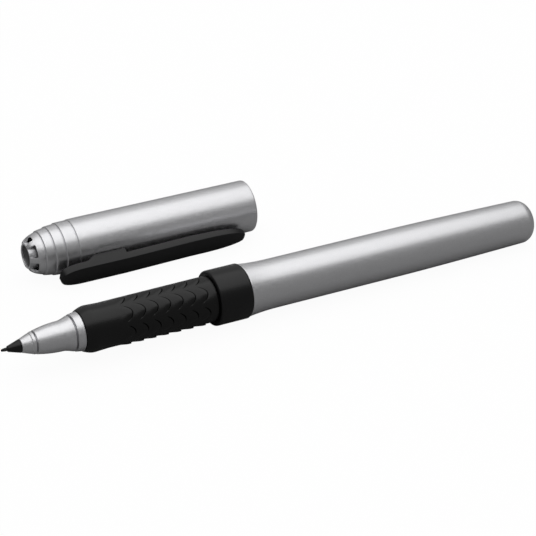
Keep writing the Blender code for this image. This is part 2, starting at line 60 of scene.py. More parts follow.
def axis_frame(origin, along, side):
    """A frame whose X runs along an axis and whose Y points to one side of it."""
    along = Vector(along).normalized()
    side = (Vector(side) - Vector(side).project(along)).normalized()
    turn = Matrix((along, side, along.cross(side))).transposed()
    return Matrix.Translation(origin) @ turn.to_4x4()


def corners_of(node, place):
    """The corners of a solid as its frame sees them, in millimetres."""
    local = place.inverted()
    return [local @ vert.co / MM for vert in frame["nodes"][node].data.vertices]


def reach(node, place):
    """Start, stop and radius of a turned solid in its frame, a skin inside it, so nothing outgrows it."""
    spots = corners_of(node, place)
    stations = [spot.x for spot in spots]
    radius = max(math.hypot(spot.y, spot.z) for spot in spots)
    return min(stations) + SKIN, max(stations) - SKIN, radius - SKIN


def started_at(node, place):
    """The same frame, moved along its axis to where a solid starts."""
    return place @ Matrix.Translation((reach(node, place)[0] * MM, 0, 0))


def centre_of(node, place):
    """A point on the axis of a round solid, from the middle of what it spans across its frame."""
    spots = corners_of(node, place)
    middle = [(min(values) + max(values)) / 2 * MM for values in zip(*spots)]
    return place @ Vector(middle)


mounts = {mount["name"]: mount for mount in frame["record"]["mounts"]}
joints = {joint["name"]: joint for joint in frame["joints"]}
tail = axis_frame(mounts["tail_end"]["pos_m"], mounts["tail_end"]["axis"], (0, 1, 0))
pen_place = started_at("collar", tail)

cap_along = joints["cap_slide"]["axis"]
hinge = Vector(joints["clip_flex"]["pos_m"])
cap_centre = centre_of("cap_liner", axis_frame((0, 0, 0), cap_along, (0, 1, 0)))
cap_place = started_at("cap_shell", axis_frame(cap_centre, cap_along, hinge - cap_centre))
hinge_along = (cap_place.inverted() @ hinge).x / MM
print("nib at", round(reach("nib", pen_place)[0], 2), "mm from the collar's shoulder")
print("clip hinge at", round(hinge_along, 2), "mm from the cap's mouth")

# %% [markdown]
# The picture is taken from in front and to the left of the marker, from about 28 degrees above the desk,
# with a long lens, so the far end looks nearly as thick as the near one. The camera is set from two
# angles and a distance, and it aims at a point between the marker and its cap.

# %% Camera
CAMERA_AZIMUTH = math.radians(-29.04)
CAMERA_ELEVATION = math.radians(27.98)
CAMERA_DISTANCE = 436.5 * MM
CAMERA_AIM = Vector((-2.30, -17.07, 9.06)) * MM
CAMERA_LENS = 134.33
CAMERA_CLIP_START = 10 * MM

level = math.cos(CAMERA_ELEVATION)
camera_back = Vector((
    math.sin(CAMERA_AZIMUTH) * level,
    -math.cos(CAMERA_AZIMUTH) * level,
    math.sin(CAMERA_ELEVATION),
))
camera = bpy.data.objects.new("camera", bpy.data.cameras.new("camera"))
camera.data.lens = CAMERA_LENS
camera.data.clip_start = CAMERA_CLIP_START
camera.location = CAMERA_AIM + camera_back * CAMERA_DISTANCE
camera.rotation_euler = camera_back.to_track_quat("Z", "Y").to_euler()
bpy.context.collection.objects.link(camera)
bpy.context.scene.camera = camera
print("camera at", [round(value, 3) for value in camera.location])

# %% [markdown]
# Materials and shapes are both built from nodes here, so one small helper adds a node: it takes what
# feeds each input (a value, a socket or another node) and the node's own settings.

# %% Node and colour helpers
def add_node(tree, kind, feeds=None, **settings):
    """Adds a node; feeds maps an input's name or number to a value, a socket or a node."""
    node = tree.nodes.new(kind)
    for name, value in settings.items():
        setattr(node, name, value)
    for socket, feed in (feeds or {}).items():
        if isinstance(feed, bpy.types.Node):
            feed = next(output for output in feed.outputs if output.enabled)
        if isinstance(feed, bpy.types.NodeSocket):
            tree.links.new(feed, node.inputs[socket])
        else:
            node.inputs[socket].default_value = feed
    return node


def hex_colour(text):
    """An sRGB hex value as linear red, green, blue and alpha, by the standard's own curve."""
    linear = []
    for start in (1, 3, 5):
        share = int(text[start:start + 2], 16) / 255
        linear.append(share / 12.92 if share <= 0.04045 else ((share + 0.055) / 1.055) ** 2.4)
    return (*linear, 1.0)


def new_material(name):
    """A new material with its node tree and its shader."""
    made = bpy.data.materials.new(name)
    made.use_nodes = True
    return made, made.node_tree, made.node_tree.nodes["Principled BSDF"]


def link(tree, source, shader, socket):
    """Links a node's live output to a socket of the shader."""
    tree.links.new(next(output for output in source.outputs if output.enabled), shader.inputs[socket])


def noise_scale(size):
    """The scale of a noise whose grains are about as wide as a size in millimetres."""
    return 1 / (size * MM)


print("mid grey is", [round(value, 3) for value in hex_colour("#808080")[:3]], "in linear light")

# %% [markdown]
# The barrel, nose and cap are moulded from polypropylene with aluminium pigment. The flakes lie under the
# skin, so the surface looks like satin metal: a soft highlight, no mirror image, and a faint sparkle. Paint
# could be layered over a plastic, but one metallic shader gives the same highlight. Its roughness follows
# the flakes, because flat ones shine and tilted ones scatter. Real flakes are about 0.03 mm; they are drawn
# at 0.20 mm, or they would not show. A much wider noise stands for the flow of the melt.

# %% Silver pigmented polypropylene
FLAKE_SIZE = 0.20
DULL_FLAKE = "#DCDCDE"
BRIGHT_FLAKE = "#F4F4F6"
FLAT_FLAKE_NOISE = 0.39
TILTED_FLAKE_NOISE = 0.55
FLAT_FLAKE_ROUGHNESS = 0.28
TILTED_FLAKE_ROUGHNESS = 0.50
METAL_SHARE = 1.0
FLOW_SIZE = 6.0
FLOW_DEPTH = 0.02
FLOW_STRENGTH = 0.06


def silver_polypropylene():
    made, tree, shader = new_material("silver_pigmented_polypropylene")
    spot = add_node(tree, "ShaderNodeTexCoord").outputs["Object"]
    flakes = add_node(
        tree, "ShaderNodeTexNoise", {"Vector": spot, "Scale": noise_scale(FLAKE_SIZE), "Detail": 1.0},
    )
    flow = add_node(
        tree, "ShaderNodeTexNoise", {"Vector": spot, "Scale": noise_scale(FLOW_SIZE), "Detail": 2.0},
    )
    # A Mix of colours takes its share at input 0 and the two colours at 6 and 7
    tint = add_node(
        tree, "ShaderNodeMix",
        {0: flakes, 6: hex_colour(DULL_FLAKE), 7: hex_colour(BRIGHT_FLAKE)},
        data_type="RGBA",
    )
    link(tree, tint, shader, "Base Color")
    lie = add_node(tree, "ShaderNodeMapRange", {
        "Value": flakes,
        "From Min": FLAT_FLAKE_NOISE,
        "From Max": TILTED_FLAKE_NOISE,
        "To Min": FLAT_FLAKE_ROUGHNESS,
        "To Max": TILTED_FLAKE_ROUGHNESS,
    })
    link(tree, lie, shader, "Roughness")
    waves = add_node(
        tree, "ShaderNodeBump", {"Height": flow, "Strength": FLOW_STRENGTH, "Distance": FLOW_DEPTH * MM},
    )
    link(tree, waves, shader, "Normal")
    shader.inputs["Metallic"].default_value = METAL_SHARE
    return made


silver = silver_polypropylene()
print("made", silver.name)

# %% [markdown]
# Collar, clip, inner cap and nib holder are black ABS. The mould was spark-eroded, which leaves a fine
# even grain, so the black takes a soft grey highlight on the side that faces the light. The grain is drawn
# at 0.22 mm, several times its real width, or it would not show. Colour, roughness and pits all follow one
# noise, and the function takes the values of the material, because the rubber is built in the same way.

# %% Satin black ABS
SPARK_GRAIN = 0.22
BLACK_SPECULAR = 0.38


def moulded_black(name, grain, detail, dark, light, shiny, dull, pit_depth, pit_strength, ior):
    """A black moulding whose colour, roughness and pits follow one grain; its sizes are in millimetres."""
    made, tree, shader = new_material(name)
    spot = add_node(tree, "ShaderNodeTexCoord").outputs["Object"]
    noise = add_node(
        tree, "ShaderNodeTexNoise", {"Vector": spot, "Scale": noise_scale(grain), "Detail": detail},
    )
    tint = add_node(
        tree, "ShaderNodeMix", {0: noise, 6: hex_colour(dark), 7: hex_colour(light)}, data_type="RGBA",
    )
    link(tree, tint, shader, "Base Color")
    sheen = add_node(tree, "ShaderNodeMapRange", {"Value": noise, "To Min": shiny, "To Max": dull})
    link(tree, sheen, shader, "Roughness")
    pits = add_node(
        tree, "ShaderNodeBump", {"Height": noise, "Strength": pit_strength, "Distance": pit_depth * MM},
    )
    link(tree, pits, shader, "Normal")
    shader.inputs["IOR"].default_value = ior
    shader.inputs["Specular IOR Level"].default_value = BLACK_SPECULAR
    return made


black = moulded_black(
    "satin_black_abs", grain=SPARK_GRAIN, detail=2.0, dark="#030304", light="#060607",
    shiny=0.30, dull=0.37, pit_depth=0.02, pit_strength=0.10, ior=1.54,
)
print("made", black.name)

# %% [markdown]
# The grip is a thermoplastic rubber sleeve. Its skin shines about as softly as the ABS, but its pits are
# deeper and coarser, so that it feels dry to the finger. This grain, too, is drawn wider than it is.

# %% Matt thermoplastic rubber
RUBBER_GRAIN = 0.30
rubber = moulded_black(
    "matt_thermoplastic_rubber", grain=RUBBER_GRAIN, detail=3.0, dark="#030303", light="#070707",
    shiny=0.28, dull=0.36, pit_depth=0.03, pit_strength=0.12, ior=1.52,
)
print("made", rubber.name)

# %% [markdown]
# The nib is a rod of bonded acrylic fibre, soaked with black ink, and the reservoir behind it is a roll
# of the same kind of fibre. Both show fine strands along the axis, so their noise is stretched that way,
# and it is drawn coarser than real strands. The reservoir is wrapped in a thin clear film. It is sealed
# inside the barrel, but a part that comes apart on a bench should look right there too.

# %% Inked fibre and film
STRAND_WIDTH = 0.06
CORE_STRAND_WIDTH = 3 * STRAND_WIDTH
STRAND_STRETCH = 0.04
STRAND_RELIEF = 0.03
STRAND_STRENGTH = 0.35
FIBRE_ROUGHNESS = 0.62
CREASE_SPACING = 3.0
CREASE_DEPTH = 0.10
CREASE_STRENGTH = 0.20
FILM_TINT = "#D2D4D8"
FILM_ROUGHNESS = 0.18
FILM_CLEARNESS = 0.7
FILM_IOR = 1.57


def inked_fibre(name, dark, light, strand):
    made, tree, shader = new_material(name)
    spot = add_node(tree, "ShaderNodeTexCoord").outputs["Object"]
    along = add_node(tree, "ShaderNodeMapping", {"Vector": spot, "Scale": (STRAND_STRETCH, 1.0, 1.0)})
    strands = add_node(
        tree, "ShaderNodeTexNoise", {"Vector": along, "Scale": noise_scale(strand), "Detail": 2.0},
    )
    tint = add_node(
        tree, "ShaderNodeMix", {0: strands, 6: hex_colour(dark), 7: hex_colour(light)}, data_type="RGBA",
    )
    link(tree, tint, shader, "Base Color")
    ridges = add_node(
        tree, "ShaderNodeBump",
        {"Height": strands, "Strength": STRAND_STRENGTH, "Distance": STRAND_RELIEF * MM},
    )
    link(tree, ridges, shader, "Normal")
    shader.inputs["Roughness"].default_value = FIBRE_ROUGHNESS
    return made


def clear_film():
    made, tree, shader = new_material("clear_polyester_film")
    spot = add_node(tree, "ShaderNodeTexCoord").outputs["Object"]
    wrinkles = add_node(
        tree, "ShaderNodeTexNoise", {"Vector": spot, "Scale": noise_scale(CREASE_SPACING), "Detail": 2.0},
    )
    creases = add_node(
        tree, "ShaderNodeBump",
        {"Height": wrinkles, "Strength": CREASE_STRENGTH, "Distance": CREASE_DEPTH * MM},
    )
    link(tree, creases, shader, "Normal")
    shader.inputs["Base Color"].default_value = hex_colour(FILM_TINT)
    shader.inputs["Roughness"].default_value = FILM_ROUGHNESS
    shader.inputs["Transmission Weight"].default_value = FILM_CLEARNESS
    shader.inputs["IOR"].default_value = FILM_IOR
    return made


nib_fibre = inked_fibre("inked_acrylic_point", "#060607", "#131314", STRAND_WIDTH)
core_fibre = inked_fibre("inked_fibre_core", "#0D0D10", "#232328", CORE_STRAND_WIDTH)
film = clear_film()
for node, finish in (("ink_reservoir", core_fibre), ("reservoir_wrap", film)):
    frame["nodes"][node].data.materials[0] = finish
print("inner pieces keep their solids and get", core_fibre.name, "and", film.name)

# %% [markdown]
# Most pieces are turned: an outline swept once round an axis. Blender's Screw modifier could do it, but
# bmesh's spin gives the mesh at once, and the outline can first have its corners rounded. On a real
# moulding no edge is perfectly sharp, and it is the rounded edges that catch the light.

# %% Turning helpers
FACETS_ROUND = 112
CORNER_STEPS = 4
FINE_CORNER_STEPS = 6
MERGE_DISTANCE = 1e-4
SHARP_ANGLE = math.radians(38)


def softened(corners, steps=CORNER_STEPS):
    """Rounds the corners of an outline; each corner is (along, radius, length cut from each side)."""
    outline = []
    for number, (along, radius, cut) in enumerate(corners):
        here = Vector((along, radius))
        if cut == 0:
            outline.append(here)
            continue
        before = Vector(corners[number - 1][:2]) - here
        after = Vector(corners[(number + 1) % len(corners)][:2]) - here
        start = here + before.normalized() * min(cut, before.length / 2)
        stop = here + after.normalized() * min(cut, after.length / 2)
        for step in range(steps + 1):
            share = step / steps
            outline.append(start.lerp(here, share).lerp(here.lerp(stop, share), share))
    return outline


def eased(first, last, steps, ease):
    """Corners from first to last whose radius follows ease(0..1), without the first one."""
    corners = []
    for step in range(1, steps + 1):
        share = step / steps
        along = first[0] + (last[0] - first[0]) * share
        corners.append((along, first[1] + (last[1] - first[1]) * ease(share), 0))
    return corners


def rounded(along, radius, size, first_degrees, last_degrees, steps):
    """Corners on a round of the given size about (along, radius); 0 degrees points along the axis."""
    corners = []
    for step in range(steps + 1):
        angle = math.radians(first_degrees + (last_degrees - first_degrees) * step / steps)
        corners.append((along + size * math.cos(angle), radius + size * math.sin(angle), 0))
    return corners


def turned(outline, facets=FACETS_ROUND, start=0.0, sweep=math.tau):
    """Spins an outline round X; an outline that ends on the axis closes there, any other is a ring."""
    work = bmesh.new()
    spots = [(along, radius * math.cos(start), radius * math.sin(start)) for along, radius in outline]
    ring = [work.verts.new(spot) for spot in spots]
    pairs = list(zip(ring, ring[1:]))
    if outline[0][1] > 0 or outline[-1][1] > 0:
        pairs.append((ring[-1], ring[0]))
    edges = [work.edges.new(pair) for pair in pairs]
    whole = math.isclose(sweep, math.tau)
    spun = bmesh.ops.spin(
        work, geom=ring + edges, cent=(0, 0, 0), axis=(1, 0, 0), dvec=(0, 0, 0),
        angle=sweep, steps=facets, use_merge=whole,
    )
    if not whole:
        last_edges = [item for item in spun["geom_last"] if isinstance(item, bmesh.types.BMEdge)]
        bmesh.ops.contextual_create(work, geom=edges)
        bmesh.ops.contextual_create(work, geom=last_edges)
    bmesh.ops.remove_doubles(work, verts=work.verts[:], dist=MERGE_DISTANCE)
    bmesh.ops.recalc_face_normals(work, faces=work.faces[:])
    return work


def drawn(name, work):
    """An object drawn in millimetres from a bmesh."""
    mesh = bpy.data.meshes.new(name)
    work.to_mesh(mesh)
    work.free()
    made = bpy.data.objects.new(name, mesh)
    bpy.context.collection.objects.link(made)
    return made


def fitted(made, place, finish, body, node):
    """Moves a drawn piece's mesh to its place and hands the piece to the body that carries it."""
    made.data.transform(place @ Matrix.Scale(MM, 4))
    made.data.shade_smooth()
    made.data.set_sharp_from_angle(angle=SHARP_ANGLE)
    made.data.materials.clear()
    made.data.materials.append(finish)
    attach(made, body)
    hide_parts(node)
    print(made.name, "has", len(made.data.polygons), "faces and stands for", node)


# %% [markdown]
# The barrel is one long moulding with a closed tail. It flares to meet the collar, runs straight under the
# hand, and tapers to a rounded tail. Behind the flare hides the bore that takes the front section. The
# flare and the taper follow simple powers, so a few named sizes hold the whole outline.

# %% Barrel
BARREL_RADIUS = 5.44
BARREL_FLARE_LENGTH = 7.80
BARREL_FLARE_POWER = 2.2
BARREL_FLARE_STEPS = 24
BARREL_STRAIGHT_LENGTH = 33.00
BARREL_TAPER_POWER = 1.5
BARREL_TAPER_STEPS = 16
BARREL_TAIL_RADIUS = 5.00
BARREL_TAIL_ROUNDING = 2.60
BARREL_TAIL_STEPS = 14
BARREL_FRONT_EDGE = 0.14
BARREL_BORE = 4.01
BARREL_BORE_EDGE = 0.15
BARREL_FLOOR_FROM_END = 3.40
BARREL_FLOOR_ROUNDING = 0.80


def make_barrel():
    start, stop, front_radius = reach("barrel", pen_place)
    front = (start, front_radius)
    flare_end = (start + BARREL_FLARE_LENGTH, BARREL_RADIUS)
    straight_end = (flare_end[0] + BARREL_STRAIGHT_LENGTH, BARREL_RADIUS)
    tail_start = (stop - BARREL_TAIL_ROUNDING, BARREL_TAIL_RADIUS)
    tail_round = BARREL_TAIL_RADIUS - BARREL_TAIL_ROUNDING
    floor = stop - BARREL_FLOOR_FROM_END
    corners = [
        (floor, 0, 0),
        (floor, BARREL_BORE, BARREL_FLOOR_ROUNDING),
        (start, BARREL_BORE, BARREL_BORE_EDGE),
        (*front, BARREL_FRONT_EDGE),
        *eased(front, flare_end, BARREL_FLARE_STEPS, lambda share: 1 - (1 - share) ** BARREL_FLARE_POWER),
        (*straight_end, 0),
        *eased(straight_end, tail_start, BARREL_TAPER_STEPS, lambda share: share**BARREL_TAPER_POWER),
        *rounded(tail_start[0], tail_round, BARREL_TAIL_ROUNDING, 90, 0, BARREL_TAIL_STEPS)[1:],
        (stop, 0, 0),
    ]
    barrel = drawn("silver_barrel", turned(softened(corners)))
    fitted(barrel, pen_place, silver, "pen", "barrel")


make_barrel()

# %% [markdown]
# The collar is the black ring that the cap closes against. Its front edge is rounded, so the cap finds
# its way, and its rear edge is only broken, so that it meets the barrel with a fine dark line.

# %% Collar
COLLAR_FRONT_ROUNDING = 0.62
COLLAR_REAR_ROUNDING = 0.16
COLLAR_BORE_EDGE = 0.10


def make_collar():
    start, stop, radius = reach("collar", pen_place)
    corners = [
        (start, BARREL_BORE, COLLAR_BORE_EDGE),
        (start, radius, COLLAR_FRONT_ROUNDING),
        (stop, radius, COLLAR_REAR_ROUNDING),
        (stop, BARREL_BORE, COLLAR_BORE_EDGE),
    ]
    collar = drawn("black_collar", turned(softened(corners, steps=FINE_CORNER_STEPS)))
    fitted(collar, pen_place, black, "pen", "collar")


make_collar()

# %% [markdown]
# The nose is built from three silver pieces and two black ones. The ring belongs to the long front
# section that carries the grip. The nose cone swells a little and flares to meet the ring, with a groove
# between them, and the tip ferrule has one fine line turned into it.

# %% Nose ring, nose cone and tip ferrule
SECTION_RADIUS = 3.85
SECTION_BORE = 3.15
SECTION_END_EDGE = 0.20
RING_FRONT_RADIUS = 3.98
RING_FRONT_EDGE = 0.14
RING_REAR_EDGE = 0.10
RING_LENGTH = 1.60
CONE_WAIST_RADIUS = 3.25
CONE_SWELL = 0.16
CONE_SWELL_STEPS = 16
CONE_FLARE_LENGTH = 2.10
CONE_FLARE_POWER = 1.3
CONE_FLARE_STEPS = 8
CONE_LENGTH = 8.00
CONE_FRONT_RADIUS = 2.53
CONE_FRONT_EDGE = 0.05
CONE_REAR_EDGE = 0.12
CONE_BORE = 1.87
CONE_SPIGOT_CLEARANCE = 0.12
CONE_SPIGOT_EDGE = 0.20
FERRULE_LENGTH = 2.76
FERRULE_FRONT_RADIUS = 1.46
FERRULE_FRONT_EDGE = 0.08
FERRULE_REAR_EDGE = 0.05
FERRULE_SPIGOT_RADIUS = 1.75
FERRULE_SPIGOT_EDGE = 0.10
FERRULE_LINE_FROM_REAR = 0.66
FERRULE_LINE_DEPTH = 0.11
FERRULE_LINE_WIDTH = 0.26
FERRULE_LINE_EDGE = 0.05
SHANK_BORE = 1.17


def make_nose_ring():
    start, stop, radius = reach("front_section", pen_place)
    ring_rear = start + RING_LENGTH
    corners = [
        (start, SECTION_BORE, 0),
        (start, RING_FRONT_RADIUS, RING_FRONT_EDGE),
        (ring_rear, radius, RING_REAR_EDGE),
        (ring_rear, SECTION_RADIUS, 0),
        (stop, SECTION_RADIUS, SECTION_END_EDGE),
        (stop, SECTION_BORE, 0),
    ]
    ring = drawn("silver_front_section", turned(softened(corners)))
    fitted(ring, pen_place, silver, "pen", "front_section")


def make_nose_cone():
    start, stop, radius = reach("nose_cone", pen_place)
    rear = start + CONE_LENGTH
    waist = (rear - CONE_FLARE_LENGTH, CONE_WAIST_RADIUS)
    front = (start, CONE_FRONT_RADIUS)
    swollen = []
    for along, plain, cut in eased(front, waist, CONE_SWELL_STEPS, lambda share: share):
        share = (along - start) / (waist[0] - start)
        swollen.append((along, plain + CONE_SWELL * math.sin(math.pi * share), cut))
    flare = eased(waist, (rear, radius), CONE_FLARE_STEPS, lambda share: share**CONE_FLARE_POWER)
    spigot = SECTION_BORE - CONE_SPIGOT_CLEARANCE
    corners = [
        (start, CONE_BORE, 0),
        (*front, CONE_FRONT_EDGE),
        *swollen,
        *flare[:-1],
        (*flare[-1][:2], CONE_REAR_EDGE),
        (rear, spigot, 0),
        (stop, spigot, CONE_SPIGOT_EDGE),
        (stop, CONE_BORE, 0),
    ]
    cone = drawn("silver_nose_cone", turned(softened(corners)))
    fitted(cone, pen_place, silver, "pen", "nose_cone")


def make_tip_ferrule():
    start, stop, radius = reach("tip_ferrule", pen_place)
    rear = start + FERRULE_LENGTH
    line = rear - FERRULE_LINE_FROM_REAR

    def cone_radius(along):
        return FERRULE_FRONT_RADIUS + (radius - FERRULE_FRONT_RADIUS) * (along - start) / FERRULE_LENGTH

    line_start = line - FERRULE_LINE_WIDTH / 2
    line_stop = line + FERRULE_LINE_WIDTH / 2
    corners = [
        (start, SHANK_BORE, 0),
        (start, FERRULE_FRONT_RADIUS, FERRULE_FRONT_EDGE),
        (line_start, cone_radius(line_start), FERRULE_LINE_EDGE),
        (line, cone_radius(line) - FERRULE_LINE_DEPTH, FERRULE_LINE_EDGE),
        (line_stop, cone_radius(line_stop), FERRULE_LINE_EDGE),
        (rear, radius, FERRULE_REAR_EDGE),
        (rear, FERRULE_SPIGOT_RADIUS, 0),
        (stop, FERRULE_SPIGOT_RADIUS, FERRULE_SPIGOT_EDGE),
        (stop, SHANK_BORE, 0),
    ]
    ferrule = drawn("silver_tip_ferrule", turned(softened(corners)))
    fitted(ferrule, pen_place, silver, "pen", "tip_ferrule")


make_nose_ring()
make_nose_cone()
make_tip_ferrule()

# %% [markdown]
# At the very tip a black cone holds the nib. The nib is a fibre rod under a millimetre thick with a
# rounded writing point, so even a close look sees only a dark needle.

# %% Nib holder and nib
HOLDER_LENGTH = 2.70
HOLDER_FRONT_RADIUS = 0.62
HOLDER_FRONT_EDGE = 0.05
HOLDER_REAR_EDGE = 0.08
HOLDER_SHANK_RADIUS = 1.05
HOLDER_SHANK_EDGE = 0.10
HOLDER_FACETS = 64
NIB_BORE = 0.52
NIB_POINT_RADIUS = 0.24
NIB_TAPER = 0.90
NIB_SHOULDER = 0.20
NIB_END_EDGE = 0.10
NIB_FACETS = 48


def make_nib_holder():
    start, stop, radius = reach("nib_holder", pen_place)
    rear = start + HOLDER_LENGTH
    corners = [
        (start, NIB_BORE, 0),
        (start, HOLDER_FRONT_RADIUS, HOLDER_FRONT_EDGE),
        (rear, radius, HOLDER_REAR_EDGE),
        (rear, HOLDER_SHANK_RADIUS, 0),
        (stop, HOLDER_SHANK_RADIUS, HOLDER_SHANK_EDGE),
        (stop, NIB_BORE, 0),
    ]
    holder = drawn("black_nib_holder", turned(softened(corners), facets=HOLDER_FACETS))
    fitted(holder, pen_place, black, "pen", "nib_holder")


def make_nib():
    start, stop, radius = reach("nib", pen_place)
    corners = [
        (start, 0, 0),
        (start, NIB_POINT_RADIUS, NIB_POINT_RADIUS),
        (start + NIB_TAPER, radius, NIB_SHOULDER),
        (stop, radius, NIB_END_EDGE),
        (stop, 0, 0),
    ]
    outline = softened(corners, steps=FINE_CORNER_STEPS)
    nib = drawn("fibre_nib", turned(outline, facets=NIB_FACETS))
    fitted(nib, pen_place, nib_fibre, "pen", "nib")


make_nib_holder()
make_nib()

# %% [markdown]
# The rubber grip has seven rows of scales. Each scale climbs towards the tail and ends at an edge that
# bows rearwards in the middle of its row, and a fine groove lies behind the edge, so a finger finds a hold.
# One scale could be modelled and copied, but neighbouring scales run into each other. A Geometry Nodes tree
# works on a plain sleeve instead: it bends the sleeve's rings to the bow, and lifts or sinks every point by
# its distance behind the last edge.

# %% Tree that raises the grip's scales
EDGE_TOLERANCE = 0.01
SCALE_SIZES = (
    "Rows", "Count", "Pitch", "First Edge", "Bow", "Phase", "Bore",
    "Height", "Step", "Groove", "Depth", "Foot", "Crest",
)


def new_tree(name, inputs, output):
    """A new tree with named inputs of given kinds and one geometry output, and what its inputs give."""
    tree = bpy.data.node_groups.new(name, "GeometryNodeTree")
    for title, kind in inputs.items():
        tree.interface.new_socket(title, in_out="INPUT", socket_type="NodeSocket" + kind)
    tree.interface.new_socket(output, in_out="OUTPUT", socket_type="NodeSocketGeometry")
    return tree, add_node(tree, "NodeGroupInput").outputs


def end_tree(tree, shape, finish):
    """Ends a tree: instances become plain faces, and these get their finish."""
    plain = add_node(tree, "GeometryNodeRealizeInstances", {0: shape})
    finished = add_node(tree, "GeometryNodeSetMaterial", {"Geometry": plain, "Material": finish})
    add_node(tree, "NodeGroupOutput", {0: finished})


def scale_tree():
    inputs = {"Sleeve": "Geometry", **dict.fromkeys(SCALE_SIZES, "Float"), "Finish": "Material"}
    tree, given = new_tree("raise_grip_scales", inputs, "Grip")

    spot = add_node(tree, "GeometryNodeInputPosition")
    part = add_node(tree, "ShaderNodeSeparateXYZ", {0: spot}).outputs
    outward = add_node(tree, "ShaderNodeCombineXYZ", {1: part["Y"], 2: part["Z"]})
    radius = add_node(tree, "ShaderNodeVectorMath", {0: outward}, operation="LENGTH").outputs["Value"]

    # Place across the row: 0 in its middle, 1 where it meets the next row
    turn = add_node(tree, "ShaderNodeMath", {0: part["Z"], 1: part["Y"]}, operation="ARCTAN2")
    from_phase = add_node(tree, "ShaderNodeMath", {0: turn, 1: given["Phase"]}, operation="SUBTRACT")
    rows = add_node(tree, "ShaderNodeMath", {0: given["Rows"], 1: math.tau}, operation="DIVIDE")
    row = add_node(tree, "ShaderNodeMath", {0: from_phase, 1: rows}, operation="MULTIPLY")
    middle = add_node(tree, "ShaderNodeMath", {0: row}, operation="ROUND")
    offside = add_node(tree, "ShaderNodeMath", {0: row, 1: middle}, operation="SUBTRACT")
    doubled = add_node(tree, "ShaderNodeMath", {0: offside, 1: 2.0}, operation="MULTIPLY")
    across = add_node(tree, "ShaderNodeMath", {0: doubled, 1: doubled}, operation="MULTIPLY")

    # Place along the row: counted in scales from the first edge, and in millimetres behind the last edge
    from_first = add_node(
        tree, "ShaderNodeMath", {0: part["X"], 1: given["First Edge"]}, operation="SUBTRACT",
    )
    counted = add_node(tree, "ShaderNodeMath", {0: from_first, 1: given["Pitch"]}, operation="DIVIDE")
    within = add_node(tree, "ShaderNodeMath", {0: counted}, operation="FRACT")
    behind = add_node(tree, "ShaderNodeMath", {0: within, 1: given["Pitch"]}, operation="MULTIPLY")
    groove_end = add_node(tree, "ShaderNodeMath", {0: given["Step"], 1: given["Groove"]}, operation="ADD")

    # The edge falls into the groove, the groove's bank rises again, and the next scale climbs
    fall = add_node(
        tree, "ShaderNodeMapRange",
        {"Value": behind, "From Max": given["Step"], "To Min": 1.0, "To Max": 0.0},
    )
    climb = add_node(
        tree, "ShaderNodeMapRange",
        {"Value": behind, "From Min": given["Foot"], "From Max": given["Crest"]},
        interpolation_type="SMOOTHSTEP",
    )
    bank = add_node(
        tree, "ShaderNodeMapRange",
        {"Value": behind, "From Min": given["Step"], "From Max": groove_end, "To Min": 1.0, "To Max": 0.0},
        interpolation_type="SMOOTHSTEP",
    )
    sunk = add_node(tree, "ShaderNodeMapRange", {"Value": behind, "From Max": given["Step"]})
    dip = add_node(tree, "ShaderNodeMath", {0: sunk, 1: bank}, operation="MINIMUM")
    raised = add_node(tree, "ShaderNodeMath", {0: climb, 1: fall}, operation="MAXIMUM")
    lift = add_node(tree, "ShaderNodeMath", {0: raised, 1: given["Height"]}, operation="MULTIPLY")
    drop = add_node(tree, "ShaderNodeMath", {0: dip, 1: given["Depth"]}, operation="MULTIPLY")

    # Both fade towards the sides of a row, where the bow is strongest, and the pad sooner than the groove
    crown = add_node(tree, "ShaderNodeMath", {0: 1.0, 1: across}, operation="SUBTRACT")
    pad = add_node(tree, "ShaderNodeMath", {0: lift, 1: crown}, operation="MULTIPLY")
    slit = add_node(tree, "ShaderNodeMath", {0: pad, 1: drop}, operation="SUBTRACT")
    fade = add_node(tree, "ShaderNodeMath", {0: crown, 1: crown}, operation="MULTIPLY")
    relief = add_node(tree, "ShaderNodeMath", {0: slit, 1: fade}, operation="MULTIPLY")

    # Scales only from before the first edge to the groove behind the last one, and only on the outer wall
    end_share = add_node(tree, "ShaderNodeMath", {0: groove_end, 1: given["Pitch"]}, operation="DIVIDE")
    late_share = add_node(tree, "ShaderNodeMath", {0: end_share, 1: EDGE_TOLERANCE}, operation="ADD")
    early_share = add_node(tree, "ShaderNodeMath", {0: end_share, 1: EDGE_TOLERANCE}, operation="SUBTRACT")
    start = add_node(tree, "ShaderNodeMath", {0: early_share, 1: 1.0}, operation="SUBTRACT")
    count_end = add_node(tree, "ShaderNodeMath", {0: given["Count"], 1: 1.0}, operation="SUBTRACT")
    stop = add_node(tree, "ShaderNodeMath", {0: count_end, 1: late_share}, operation="ADD")
    begun = add_node(tree, "ShaderNodeMath", {0: counted, 1: start}, operation="GREATER_THAN")
    unended = add_node(tree, "ShaderNodeMath", {0: counted, 1: stop}, operation="LESS_THAN")
    outer = add_node(tree, "ShaderNodeMath", {0: radius, 1: given["Bore"]}, operation="GREATER_THAN")
    scaled = add_node(tree, "ShaderNodeMath", {0: begun, 1: unended}, operation="MULTIPLY")
    mask = add_node(tree, "ShaderNodeMath", {0: scaled, 1: outer}, operation="MULTIPLY")

    height = add_node(tree, "ShaderNodeMath", {0: relief, 1: mask}, operation="MULTIPLY")
    direction = add_node(tree, "ShaderNodeVectorMath", {0: outward}, operation="NORMALIZE")
    lifted = add_node(tree, "ShaderNodeVectorMath", {0: direction, 3: height}, operation="SCALE")
    bowed = add_node(tree, "ShaderNodeMath", {0: across, 1: given["Bow"]}, operation="MULTIPLY")
    bend = add_node(tree, "ShaderNodeMath", {0: bowed, 1: mask}, operation="MULTIPLY")
    forward = add_node(tree, "ShaderNodeCombineXYZ", {0: bend})
    offset = add_node(tree, "ShaderNodeVectorMath", {0: lifted, 1: forward}, operation="SUBTRACT")

